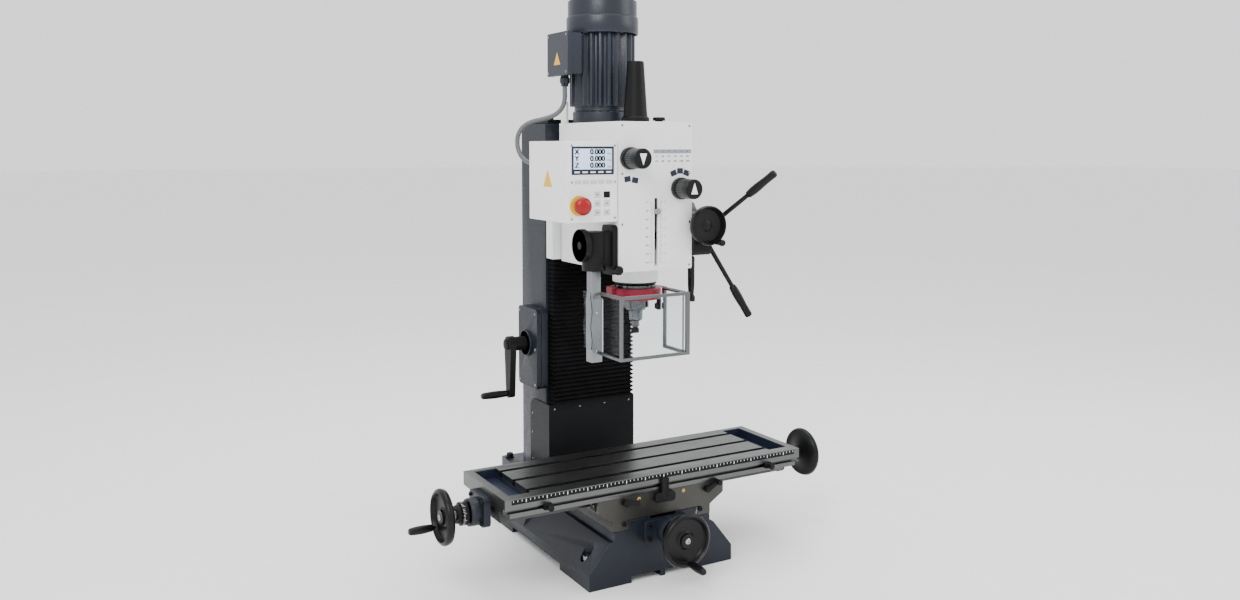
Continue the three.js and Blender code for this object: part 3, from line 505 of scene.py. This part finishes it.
# ---- saddle and table ----
def build_saddle():
    refined("saddle_casting", OLIVE, 1.6)
    refined("table_stop_block", BLACK, 1.0)
    refined("table_lock_handle", BLACK, 0.8)
    refined("saddle_lock_lever", BLACK, 1.2)
    low, high = corners("saddle_casting")
    nipples, done = details("oil_nipples", BRASS, "saddle_casting")
    for x in (-65, 56):
        nipples.turned([(0, 0), (4.5, 0), (4.5, 1), (3, 1.4), (3, 2.6), (0, 3.2)],
            "-y", (x, low.y, high.z - 10), 24)
    done()
    trim, done = details("way_wipers", BLACK, "saddle_casting")
    for side in (-1, 1):
        face = low.x if side < 0 else high.x
        trim.block(sorted((face, face + side * 2.5)), (low.y + 12, -92), (178, 202))
        trim.block(sorted((face, face + side * 2.5)), (70, high.y - 12), (178, 202))
    trim.screw((104, low.y, 141), "-y", 6, 4)
    trim.screw((-104, low.y, 141), "-y", 6, 4)
    done(0.4)
    rivets, done = details("wiper_rivets", CHROME, "saddle_casting")
    for side, face in ((-1, low.x - 2.5), (1, high.x + 2.5)):
        for y in (low.y + 18, -98, 76, high.y - 18):
            rivets.screw((face, y, 190), "+x" if side > 0 else "-x", 2.4, 1.2)
    done()


def build_table():
    refined("table_casting", GROUND, 0.9)
    low, high = corners("table_casting")
    face, top = low.y, high.z
    bed, lip, skin = 223, 243, 0.6
    troughs, done = details("trough_enamel", NAVY, "table_casting")
    front, back = low.y + 27, high.y - 15
    for side in (-1, 1):
        near, far = side * 326, side * 380
        troughs.block(sorted((near, far)), (front, back), (bed - 1, bed))
        troughs.block(sorted((near, near + side * skin)), (front, back), (bed, bed + 9))
        troughs.block(sorted((far, far - side * skin)), (front, back), (bed, lip))
        troughs.block(sorted((near, far)), (front, front + skin), (bed, lip))
        troughs.block(sorted((near, far)), (back - skin, back), (bed, lip))
    done()
    rule, done = details("table_rule", INK, "table_casting")
    rule.block((low.x + 16, high.x - 16), (face - 0.6, face),
        (top - 12, top - 2))
    done()
    ticks, done = details("table_rule_ticks", PANEL, "table_casting")
    pitch = 10
    for i in range(-38, 39):
        drop = 7 if i % 5 == 0 else 4
        half = 0.8 if i % 5 == 0 else 0.5
        ticks.block((i * pitch - half, i * pitch + half), (face - 0.9, face - 0.6),
                    (top - 2.6 - drop, top - 2.6))
    done()
    dogs, done = details("stop_dogs", BLACK, "table_casting")
    for x in (-300, 300):
        dogs.block((x - 10, x + 10), (face - 10, face + 4), (212, 224))
        dogs.turned([(0, 10), (7, 10), (7, 22), (5, 24), (0, 24)], "-y", (x, face, 218), 32)
    done(0.6)


def build_brackets():
    axis = axis_point("x_screw_turn")
    for name in ("left", "right"):
        node = f"{name}_end_bracket"
        refined(node, SLATE, 1.6)
        low, high = corners(node)
        face, axis_name, side = (high.x, "-x", -1) if name == "left" else (low.x, "+x", 1)
        neck, done = details(f"{name}_bracket_neck", SLATE, node)
        neck.turned([(11, 14), (31, 14), (31, 35), (29, 38), (11, 38)], axis_name, (face, axis.y, axis.z))
        done()
        screws, done = details(f"{name}_bracket_screws", BLACK, node)
        for y in (low.y + 10, high.y - 10):
            for z in (low.z + 11, high.z - 11):
                screws.screw((face + side * 16, y, z), axis_name, 4.5, 4.5)
        done()


def graduated_dial(node, joint, axis, radius):
    at = axis_point(joint)
    along = "xy".index(axis[1])
    at[along] = corners(node)[1][along]
    body = Piece().turned([(12.4, 0), (radius - 4, 0), (radius, 3), (radius, 17), (radius - 5, 18),
        (radius - 6, 26), (12.4, 26)], axis, at, 96, ripple=(36, 0.9, 0, 4))
    body.build(f"{node}_turned", BLACK, BODY_OF[node], SLOT_OF[node], [node])
    marks, done = details(f"{node}_marks", PANEL, node)
    count = 50
    spin = Matrix.Translation(at) @ TURNS[axis]
    for i in range(count):
        turn = spin @ Matrix.Rotation(2 * math.pi * i / count, 4, "Z")
        reach = 8 if i % 5 == 0 else 5
        ring = [(radius - 0.4, -0.25), (radius - 0.02, -0.25), (radius - 0.02, 0.25), (radius - 0.4, 0.25)]
        points = [(u, v, 16.6 - reach) for u, v in ring] + [(u, v, 16.6) for u, v in ring]
        faces = [(3, 2, 1, 0), (4, 5, 6, 7)] + [(k, (k + 1) % 4, (k + 1) % 4 + 4, k + 4) for k in range(4)]
        marks.shell(points, faces, turn)
    done()


def build_handwheels():
    """Dished wheels with a rounded rim, a bright centre screw and a turning grip."""
    wheels = [
        ("x_left", "-x", "x_screw_turn"),
        ("x_right", "+x", "x_screw_turn"),
        ("y", "-y", "y_screw_turn"),
    ]
    for name, axis, joint in wheels:
        node = f"{name}_handwheel"
        low, high = corners(node)
        along = "xy".index(axis[1])
        hub = axis_point(joint)
        hub[along] = high[along] if axis[0] == "-" else low[along]
        rim = 62
        wheel = Piece()
        profile = [(0, 13), (8, 13), (8, 0.2), (17, 0.2), (20, 2), (34, 5), (48, 8), (56, 6.4),
            (rim - 3, 6.5)]
        for i in range(9):
            angle = math.radians(-60 + 240 * i / 8)
            profile.append((rim - 8 + 8 * math.cos(angle) if i < 6 else rim - 6 + 6 * math.cos(angle),
                            15 + 8.6 * math.sin(angle)))
        profile += [(53, 21), (48, 13.5), (36, 12), (22, 11), (17, 14), (16, 20), (13, 20), (0, 20)]
        wheel.turned(profile, axis, hub, 96)
        grip_low, grip_high = corners(f"{name}_grip")
        pin = (grip_low + grip_high) / 2
        pin[along] = hub[along]
        wheel.turned([(0, 18), (4, 18), (4, 42), (0, 42)], axis, pin, 24)
        wheel.build(f"{node}_turned", GLOSS, BODY_OF[node], SLOT_OF[node], [node])
        cap, done = details(f"{name}_wheel_screw", CHROME, node)
        cap.screw(hub + TURNS[axis] @ Vector((0, 0, 19.8)), axis, 7, 3)
        done()
        handle(f"{name}_grip", axis, 54, 9)
    graduated_dial("x_dial", "x_screw_turn", "-x", 26)
    graduated_dial("y_dial", "y_screw_turn", "-y", 28)
    repaint("x_leadscrew", STEEL)
    repaint("y_leadscrew", STEEL)


# ---- head ----
def build_head():
    refined("z_carriage", WHITE, 1.6)
    refined("head_casting", WHITE, 2.0)
    refined("front_plate", WHITE, 1.0)
    low, high = corners("front_plate")
    face = low.y
    nose, done = details("nose_ring", WHITE, "head_casting")
    nose.turned([(39, 679.6), (53, 679.6), (54.6, 681.5), (54.6, 712.8), (39, 712.8)])
    done()
    seal, done = details("nose_seal", BLACK, "head_casting")
    seal.turned([(45, 673.2), (50.5, 673.2), (51, 674), (51, 679.5), (45, 679.5)])
    done()
    screws, done = details("plate_screws", CHROME, "front_plate")
    for x in (low.x + 8, high.x - 8):
        for z in (low.z + 9, low.z + 110, low.z + 225, high.z - 9):
            screws.screw((x, face, z), "-y", 2.8, 1.4)
    done()
    legend, done = details("speed_legend", NAVY, "front_plate")
    for x, z, tilt in ((-77, 926, -10), (-57, 923, 10), (47, 938, -20), (65, 943, 0), (83, 938, 20)):
        width, height = 8.2, 6.5
        turn = math.radians(-tilt)
        shape = [(x + a * math.cos(turn) - b * math.sin(turn), z + a * math.sin(turn) + b * math.cos(turn))
                 for a, b in ((-width, -height), (width, -height), (width, height), (-width, height))]
        legend.prism(shape, "xz", face - 0.35, face + 0.1)
    done()
    return face


def build_plate_print(face):
    """The speed table's rows of figures, and the depth scale beside the slot."""
    band, done = details("speed_table_band", INK_GREY, "front_plate")
    band.block((-8, 96), (face - 0.3, face + 0.1), (984, 993))
    done()
    table, done = details("speed_table_figures", INK, "front_plate")
    rows = (("95", "180", "270", "340", "540", "700"), ("190", "360", "540", "680", "1080", "1400"))
    for row, figures in enumerate(rows):
        for column, figure in enumerate(figures):
            table.text(figure, 6, (column * 17, face - 0.25, 977 - row * 11))
    for column in range(6):
        table.text(str(column + 1), 6, (column * 17, face - 0.4, 988.5))
    done()
    scale, done = details("depth_scale", INK, "front_plate")
    top = 872
    for i in range(29):
        wide = 8 if i % 4 == 0 else 4.5
        z = top - i * 5
        scale.block((-10 - wide, -10), (face - 0.3, face + 0.1), (z - 0.35, z + 0.35))
        scale.block((10, 10 + wide), (face - 0.3, face + 0.1), (z - 0.35, z + 0.35))
        if i % 4 == 0:
            scale.text(str(i // 4 * 20), 6, (-25, face - 0.25, z))
            scale.text(str(i // 4), 6, (24, face - 0.25, z))
    done()


def build_knobs():
    """Selector knobs: ribbed skirt, grey band and a cap with a pale pointer."""
    for node, pointer in (("range_knob", -1), ("speed_knob", 1)):
        low, high = corners(node)
        centre = (low + high) / 2
        at = Vector((centre.x, high.y - 22, centre.z))
        knob = Piece()
        knob.turned([(0, -22), (8, -22), (8, 0.4), (25, 0.4), (26, 1.6), (26, 12), (24.5, 14.5), (22.8, 15),
                     (22.8, 44), (23, 45), (23, 60), (21.4, 61.8), (0, 61.8)],
                    "-y", at, 144, ripple=(24, 1.1, 1, 13))
        knob.build(f"{node}_turned", GLOSS, BODY_OF[node], SLOT_OF[node], [node])
        band, done = details(f"{node}_band", BAND, node)
        band.turned([(22, 17), (23.1, 17), (23.1, 42), (22, 42)], "-y", at, 144, ripple=(36, 0.8, 0, 60))
        done()
        arrow, done = details(f"{node}_arrow", PANEL, node)
        tip = pointer * 15
        arrow.prism([(at.x - 9, at.z - tip * 0.75), (at.x + 9, at.z - tip * 0.75), (at.x, at.z + tip)],
                    "xz", low.y, low.y + 0.4)
        done()


def build_motor():
    refined("motor_body", MOTOR, 0.9)
    low, high = corners("motor_cowl")
    centre = (low + high) / 2
    cowl = Piece()
    base = low.z
    cowl.turned([(85.5, base), (88, base), (88.5, base + 1), (88.5, base + 39), (87.5, base + 41),
        (85, base + 42.5), (85, base + 78), (84, base + 81), (66, base + 92.5), (62, high.z - 0.4),
        (0, high.z - 0.2), (0, high.z - 3), (61, high.z - 3), (81, base + 78), (82, base + 40),
        (85.5, base + 36)], "+z", (centre.x, centre.y, 0), 96)
    cowl.build("motor_cowl_pressed", MOTOR, "head", SLOT_OF["motor_cowl"], ["motor_cowl"])
    refined("terminal_box", MOTOR, 1.6)
    low, high = corners("terminal_box")
    screws, done = details("terminal_screws", CHROME, "terminal_box")
    for y in (low.y + 8, high.y - 8):
        for z in (1178, high.z - 8):
            screws.screw((low.x, y, z), "-x", 3, 1.4)
    done()
    gland, done = details("cable_gland", BLACK, "terminal_box")
    gland.turned([(6.3, 1145.2), (9.5, 1145.2), (9.5, 1151), (12.2, 1152.5), (12.2, 1164.5),
        (10.2, 1166), (10.2, 1175), (6.3, 1175)], "+z", (centre.x - 104, centre.y, 0), 6)
    done(0.6)
    warning_triangle("terminal_sign", "terminal_box", low.x, centre.y + 3, 1210, 17)


def warning_triangle(name, like, face, y, z, size):
    """A plain yellow triangle on a face that looks along -X."""
    sign, done = details(name, YELLOW, like)
    sign.prism([(y - size, z - size * 0.8), (y + size, z - size * 0.8), (y, z + size * 0.95)],
               "yz", face - 0.4, face + 0.2)
    done()


def build_cable():
    """The motor lead: out of the terminal box, down and round into the back of the control box."""
    route = [
        (-122, 130, 1150), (-122, 130, 1134), (-122, 130, 1119), (-126, 132, 1098),
        (-138, 138, 1081), (-155, 147, 1071), (-174, 156, 1065), (-192, 165, 1060),
        (-209, 174, 1050), (-221, 180, 1033), (-225, 182, 1011), (-223, 176, 987),
        (-218, 159, 969), (-212, 136, 961), (-209, 123, 961), (-209, 110, 961),
    ]
    radius = 5.6
    curve = bpy.data.curves.new("motor_lead", "CURVE")
    curve.dimensions = "3D"
    curve.bevel_depth = radius * MM
    curve.bevel_resolution = 6
    curve.resolution_u = 8
    curve.use_fill_caps = True
    spline = curve.splines.new("BEZIER")
    spline.bezier_points.add(len(route) - 1)
    for point, stop in zip(spline.bezier_points, route):
        point.co = Vector(stop) * MM
        point.handle_left_type = point.handle_right_type = "AUTO"
    curve.materials.append(CABLE)
    lead = bpy.data.objects.new("motor_lead", curve)
    scene.collection.objects.link(lead)
    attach(lead, "head")
    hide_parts("motor_cable")


def build_top_parts():
    low, high = corners("drawbar_cover")
    drawbar = Piece()
    z = low.z
    drawbar.turned([(0, z + 60), (13, z + 60), (13, z), (33, z), (33, z + 10), (31, z + 12),
        (29, z + 14), (28, z + 22), (20, high.z - 3), (18, high.z - 0.8), (0, high.z - 0.1)])
    drawbar.build("drawbar_cover_turned", BLACK, "head", SLOT_OF["drawbar_cover"], ["drawbar_cover"])
    low, high = corners("oil_cap")
    cap = Piece()
    at = ((low.x + high.x) / 2, (low.y + high.y) / 2, 0)
    cap.turned([(0, low.z), (9, low.z), (9, low.z + 4), (14.9, low.z + 4.6), (14.9, high.z - 2),
        (13, high.z), (0, high.z)], "+z", at, 96, ripple=(20, 1.2, low.z + 4.5, high.z - 1.9))
    cap.build("oil_cap_turned", BLACK, "head", SLOT_OF["oil_cap"], ["oil_cap"])


# ---- control box ----
def build_control_box():
    refined("control_box", WHITE, 1.6)
    refined("control_panel", PANEL, 0.8)
    low, high = corners("control_panel")
    face = low.y
    screws, done = details("panel_screws", CHROME, "control_panel")
    for x in (low.x + 7, high.x - 7):
        for z in (low.z + 9, (low.z + high.z) / 2, high.z - 9):
            screws.screw((x, face, z), "-y", 2.6, 1.2)
    done()
    bezel, done = details("display_bezel", NAVY, "control_panel")
    bezel.block((-217, -110), (face - 0.5, face + 0.1), (937, 1000))
    done()
    glass, done = details("display_glass", SCREEN, "control_panel")
    glass.block((-212, -115), (face - 0.8, face - 0.5), (949, 995))
    done()
    figures, done = details("display_figures", INK, "control_panel")
    for row, axis in enumerate("XYZ"):
        z = 987.5 - row * 15
        figures.text(axis, 16, (-204, face - 1, z), bold=0.9)
        figures.text("0.000", 17, (-152, face - 1, z), bold=0.9)
        figures.text("mm", 7, (-122, face - 1, z - 3))
    done()
    dashes, done = details("display_dashes", PANEL, "control_panel")
    for i in range(5):
        dashes.block((-210 + i * 20, -197 + i * 20), (face - 0.8, face - 0.5), (941, 944.5))
    done()
    key_grid = [(-152 + column * 24, 892 - row * 20) for column in range(2) for row in range(3)
                if (column, row) != (1, 0)]
    soft_keys, done = details("soft_keys", KEYCAP, "control_panel")
    for i in range(5):
        soft_keys.block((-210 + i * 20, -194 + i * 20), (face - 0.5, face + 0.1), (916, 925))
    for x, z in key_grid:
        soft_keys.block((x - 8, x + 8), (face - 0.5, face + 0.1), (z - 7, z + 7))
    done(0.2)
    power, done = details("power_key", INK, "control_panel")
    power.block((-136, -120), (face - 0.6, face + 0.1), (885, 899))
    for x, z in key_grid:
        power.block((x - 2.2, x + 2.2), (face - 0.7, face - 0.4), (z - 1, z + 1))
    done()
    stop = axis_of_stop()
    ring, done = details("stop_ring", YELLOW, "control_panel")
    ring.turned([(9.5, 0), (23, 0), (23, 1.2), (22, 2), (9.5, 2)], "-y", (stop.x, face, stop.z), 72)
    done()
    button = Piece()
    button.turned([(0, -14), (8, -14), (8, 11), (19, 13.5), (20.6, 16), (20.8, 20), (19.6, 25),
        (16, 29.5), (9, 32.2), (0, 33)], "-y", (stop.x, face, stop.z), 72, ripple=(6, 0.8, 14, 24))
    button.build("stop_button_turned", RED, "stop_button", SLOT_OF["emergency_stop_button"],
        ["emergency_stop_button"])
    side, _ = corners("control_box")
    warning_triangle("box_sign", "control_box", side.x, 14.5, 926, 23)


def axis_of_stop():
    low, high = corners("emergency_stop_button")
    return (low + high) / 2


# ---- quill, spindle and feed levers ----
def build_spindle():
    repaint("quill", STEEL)
    repaint("spindle", STEEL)
    for node in ("drive_sleeve", "layshaft", "motor_rotor"):
        repaint(node, STEEL)
    nose = Piece()
    nose.turned([(26.7, 640.1), (47.4, 640.1), (48.7, 641.4), (48.7, 671), (44.2, 672.8), (44.2, 678.4),
        (26.7, 678.4)])
    nose.build("quill_nose", STEEL, "quill_body", SLOT_OF["quill"])
    flange = Piece()
    flange.turned([(0, 616.1), (31, 616.1), (32.6, 617.6), (32.6, 638), (31.4, 639.3), (0, 639.3)])
    flange.build("spindle_nose", STEEL, "spindle_body", SLOT_OF["spindle"])
    chuck = Piece()
    chuck.turned([(0, 568), (10, 568.6), (10, 582), (14.4, 583), (17, 586), (18, 588), (18, 607),
        (24, 609.5), (25, 610.4), (25, 615.7), (0, 615.7)])
    chuck.build("collet_chuck_turned", STEEL, "spindle_body", SLOT_OF["collet_chuck"], ["collet_chuck"])
    tip = Piece()
    tip.turned([(0, 553), (9, 553), (9.5, 554), (9.5, 563), (6.5, 565), (6.5, 568.2), (0, 568.2)])
    tip.build("tool_tip", BLACK, "spindle_body", SLOT_OF["collet_chuck"])
    build_collar()
    refined("depth_pointer", CHROME, 0.5)


def build_collar():
    """The clamp ring round the quill: two lugs and a star knob on its screw."""
    low, high = corners("quill_collar")
    base, top = low.z + 28, low.z + 54
    hoop = Piece()
    hoop.turned([(49, base), (63.6, base), (65, base + 1.6), (65, top - 1.8), (63.4, top), (49, top)])
    hoop.block((52, high.x), (-22, 6), (base - 2, top - 2))
    hoop.block((low.x, -56), (-14, 14), (base + 12, high.z))
    hoop.build("collar_hoop", CRIMSON, "quill_body", SLOT_OF["quill_collar"], ["quill_collar"], 0.8)
    star = Piece()
    at = (46, -34, low.z)
    star.turned([(0, 2), (9, 2), (12, 4), (12, 14), (9, 16), (0, 16)], "+z", at, 96, ripple=(5, 3.2, 3, 15))
    star.turned([(0, 0), (6, 0), (6, 30), (0, 30)], "+z", at, 32)
    star.build("collar_star_knob", BLACK, "quill_body", SLOT_OF["quill_collar"])


def build_feed():
    axis = axis_point("pilot_turn")
    refined("worm_housing", BLACK, 2.0)
    levers = Piece()
    levers.turned([(0, -8), (14.6, -8), (14.6, 9), (8, 9), (8, 60), (11, 60), (11, 150.6), (23, 150.6),
        (24, 152), (24, 172), (22, 176), (18, 180), (0, 180)], "+x", (0, axis.y, axis.z), 72)
    radial, axial, grip = 212, 106, 88
    length = math.hypot(radial, axial)
    start = length - grip
    profile = [(0, 4), (6, 4), (5.5, start - 1), (6.5, start), (8.8, start + 3), (10.4, start + 20),
        (10.2, start + 34), (9, length - 30), (9.2, length - 12), (9.4, length - 6), (8, length - 1.5),
        (5, length), (0, length)]
    for i in range(3):
        angle = math.radians(44.7 - 120 * i)
        direction = Vector((axial, -radial * math.cos(angle), radial * math.sin(angle))).normalized()
        turn = Vector((0, 0, 1)).rotation_difference(direction).to_matrix().to_4x4()
        levers.turned(profile, matrix=Matrix.Translation((160, axis.y, axis.z)) @ turn, steps=40)
    levers.build("pilot_levers", GLOSS, "pilot", SLOT_OF["pilot_wheel"], ["pilot_wheel"])
    at = axis_point("fine_feed_turn")
    hub = (at.x, -108, at.z)
    wheel = Piece()
    wheel.turned([(0, -55), (8, -55), (8, 0), (20, 0), (42, 3), (45.6, 5), (47, 9), (47, 20),
        (45.8, 23), (43.6, 24), (42, 21), (38, 10), (15, 7), (10, 10), (0, 10)], "-y", hub, 96)
    pin = axis_point("fine_grip_spin")
    wheel.turned([(0, 12), (3, 12), (3, 34), (0, 34)], "-y", (pin.x, -108, pin.z), 24)
    wheel.build("fine_feed_wheel_turned", GLOSS, "fine_feed", SLOT_OF["fine_feed_wheel"],
        ["fine_feed_wheel"])
    grip = Piece()
    grip.turned([(3.4, 0), (6, 0), (6.5, 10), (6.8, 20), (8, 29), (7.4, 33), (5, 36), (0, 36.9),
        (0, 12), (3.4, 12)], "-y", (pin.x, -132.6, pin.z), 40)
    grip.build("fine_feed_grip_turned", GLOSS, "fine_handle", SLOT_OF["fine_feed_grip"], ["fine_feed_grip"])
    refined("quill_lock_lever", GLOSS, 1.4)


# ---- chip guard ----
def build_guard():
    refined("guard_bracket", BLACK, 1.6)
    refined("guard_post", POST, 0.8)
    refined("guard_frame", ALUMINIUM, 0.8)
    refined("guard_pane", CLEAR, 0.2)
    pivot = axis_point("guard_swing")
    barrel, done = details("guard_barrel", BLACK, "guard_bracket")
    barrel.turned([(11, 718.4), (26, 718.4), (27.1, 720), (27.1, 804), (25, 806.8), (0, 806.8),
        (0, 780), (11, 780)], "+z", (pivot.x, pivot.y, 0))
    barrel.turned([(0, 24), (37.5, 24), (37.6, 35), (36, 37), (9, 37), (9, 36), (0, 36)], "-x",
        (pivot.x, pivot.y, 776))
    done()
    strip, done = details("guard_strip", CLEAR, "guard_post")
    outer = [(pivot.x - 19 + 1.6 * math.sin(i * 0.9), 540 + i * 10) for i in range(14)]
    strip.prism(outer + [(x + 2, z) for x, z in reversed(outer)], "xz", pivot.y - 22, pivot.y + 14)
    done()
    low, high = corners("guard_bracket")
    knob, done = details("bracket_knob", GLOSS, "guard_bracket")
    knob.turned([(0, 0), (5, 0), (5, 8), (10, 9), (11, 11), (11, 20), (9, 22), (0, 22)], "-y",
                (high.x - 12, low.y, low.z + 14), 48, ripple=(8, 1, 9, 21))
    done()
    screws, done = details("guard_screws", CHROME, "guard_post")
    for z in (534, 622):
        screws.screw((pivot.x, pivot.y - 17, z), "-y", 4, 2)
    done()


# ---- stage ----
FLOOR_HALF_M = 45
SKY_STRENGTH = 1.45
LIT_POINT_M = Vector((0, 0.1, 0.7))


def build_stage():
    floor_mesh = bpy.data.meshes.new("floor")
    half = FLOOR_HALF_M
    floor_mesh.from_pydata([(-half, -half, 0), (half, -half, 0), (half, half, 0), (-half, half, 0)], [],
        [(0, 1, 2, 3)])
    floor = bpy.data.objects.new("floor", floor_mesh)
    floor_mesh.materials.append(finish("pale_floor", (0.93, 0.93, 0.93), 0.8, shade=0.006, bump=0.01,
        grain=50, gleam=0.2))
    scene.collection.objects.link(floor)
    world = bpy.data.worlds.new("studio")
    scene.world = world
    world.use_nodes = True
    world.node_tree.nodes["Background"].inputs["Color"].default_value = (0.97, 0.975, 0.985, 1)
    world.node_tree.nodes["Background"].inputs["Strength"].default_value = SKY_STRENGTH
    lights = [
        ("key_light", (-2.2, -2.0, 3.0), 1.8, 90),
        ("fill_light", (2.6, -1.6, 2.2), 1.8, 30),
        ("top_light", (0.2, 0.6, 3.6), 2.4, 60),
    ]
    for name, position, size, power in lights:
        lamp = bpy.data.lights.new(name, "AREA")
        lamp.size = size
        lamp.energy = power
        holder = bpy.data.objects.new(name, lamp)
        holder.location = position
        aim = LIT_POINT_M - Vector(position)
        holder.rotation_euler = aim.to_track_quat("-Z", "Y").to_euler()
        scene.collection.objects.link(holder)


build_cable()
build_base()
build_bracket()
build_column()
build_bellows()
build_height_drive()
build_saddle()
build_table()
build_brackets()
build_handwheels()
build_plate_print(build_head())
build_knobs()
build_motor()
build_top_parts()
build_control_box()
build_spindle()
build_feed()
build_guard()
build_stage()
